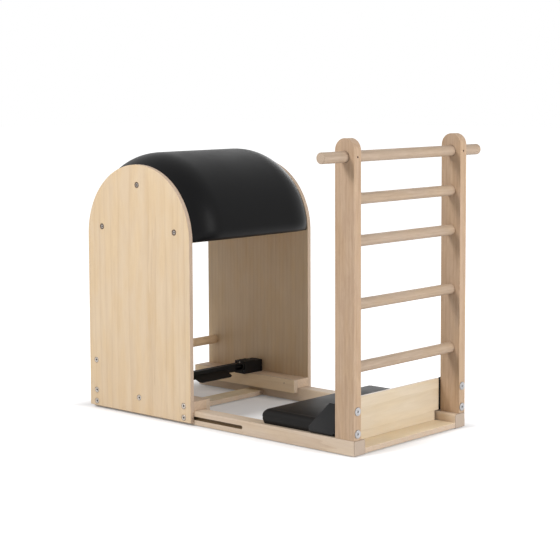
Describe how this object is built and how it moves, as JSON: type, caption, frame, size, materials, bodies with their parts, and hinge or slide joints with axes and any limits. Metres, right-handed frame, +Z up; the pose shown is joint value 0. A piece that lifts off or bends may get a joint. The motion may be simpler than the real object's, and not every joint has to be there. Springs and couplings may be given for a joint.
{
  "type": "pilates ladder barrel",
  "caption": "Pilates ladder barrel: an upholstered half barrel on a sliding plywood carriage faces a rung ladder with a foot cushion, on a wooden rail base with a pedal brake.",
  "frame": {"origin": "on the floor, at the centre of the box round the whole apparatus with the carriage at the far end of its travel", "axes": "+Z up, +X from the barrel towards the ladder, +Y to the left of someone who faces the ladder"},
  "size_m": [1.3156, 0.86, 1.0433],
  "materials": {
    "beech": "clear satin lacquer on solid pale hardwood",
    "plywood": "clear satin lacquer on birch-faced plywood, edges showing their plies",
    "vinyl": "matt black upholstery vinyl with a fine grain",
    "black_steel": "satin black powder coat",
    "zinc": "zinc-plated steel",
    "rubber": "matt black rubber"
  },
  "bodies": {
    "base": {"rail_left": "beech", "rail_right": "beech", "foot_front_left": "rubber", "foot_front_right": "rubber", "foot_rear_left": "rubber", "foot_rear_right": "rubber", "base_plate": "plywood", "cross_strip": "plywood", "post_left": "beech", "post_right": "beech", "handle_bar": "beech", "rung_1": "beech", "rung_2": "beech", "rung_3": "beech", "rung_4": "beech", "kick_board": "plywood", "corner_bracket_left": "black_steel", "corner_bracket_right": "black_steel", "post_bolt_lower_left": "zinc", "post_bolt_lower_right": "zinc", "post_bolt_upper_left": "zinc", "post_bolt_upper_right": "zinc", "foot_pad_board": "plywood", "foot_pad_cushion": "vinyl"},
    "carriage": {"side_panel_left": "plywood", "side_panel_right": "plywood", "arch_bolt_front_left": "zinc", "arch_bolt_front_right": "zinc", "arch_bolt_top_left": "zinc", "arch_bolt_top_right": "zinc", "arch_bolt_rear_left": "zinc", "arch_bolt_rear_right": "zinc", "dowel_bolt_left": "zinc", "dowel_bolt_right": "zinc", "guide_bolt_front_left": "zinc", "guide_bolt_front_right": "zinc", "guide_bolt_middle_left": "zinc", "guide_bolt_middle_right": "zinc", "guide_bolt_rear_left": "zinc", "guide_bolt_rear_right": "zinc", "guide_pin_front_left": "zinc", "guide_pin_front_right": "zinc", "guide_pin_rear_left": "zinc", "guide_pin_rear_right": "zinc", "barrel_rib_left": "plywood", "barrel_rib_right": "plywood", "barrel_shell": "plywood", "barrel_cushion": "vinyl", "stretcher_dowel": "beech", "guide_block_left": "beech", "guide_block_right": "beech", "guide_plank_left": "plywood", "guide_plank_right": "plywood", "lock_housing_left": "black_steel", "lock_housing_right": "black_steel", "lock_spring_left": "zinc", "lock_spring_right": "zinc"},
    "pedal": {"pedal_bar": "black_steel"},
    "plunger_left": {"lock_plunger_left": "zinc"},
    "plunger_right": {"lock_plunger_right": "zinc"}
  },
  "joints": [
    {"name": "carriage_slide", "type": "slide", "parent": "base", "child": "carriage", "axis": [1, 0, 0], "range_m": [0, 0.265]},
    {"name": "pedal_press", "type": "hinge", "parent": "carriage", "child": "pedal", "pos_m": [-0.32922, 0, 0.118], "axis": [0, 1, 0], "range_deg": [0, 18], "stiffness_Nm_per_rad": 4, "springref_deg": -17.19},
    {"name": "brake_lift_left", "type": "slide", "parent": "carriage", "child": "plunger_left", "axis": [0, 0, 1], "range_m": [0, 0.0078], "stiffness_N_per_m": 2000, "springref_m": -0.01, "deforming": ["lock_spring_left"]},
    {"name": "brake_lift_right", "type": "slide", "parent": "carriage", "child": "plunger_right", "axis": [0, 0, 1], "range_m": [0, 0.0078], "stiffness_N_per_m": 2000, "springref_m": -0.01, "deforming": ["lock_spring_right"]}
  ],
  "couplings": [
    {"joint": "brake_lift_left", "follows": "pedal_press", "m_per_rad": 0.024},
    {"joint": "brake_lift_right", "follows": "pedal_press", "m_per_rad": 0.024}
  ]
}
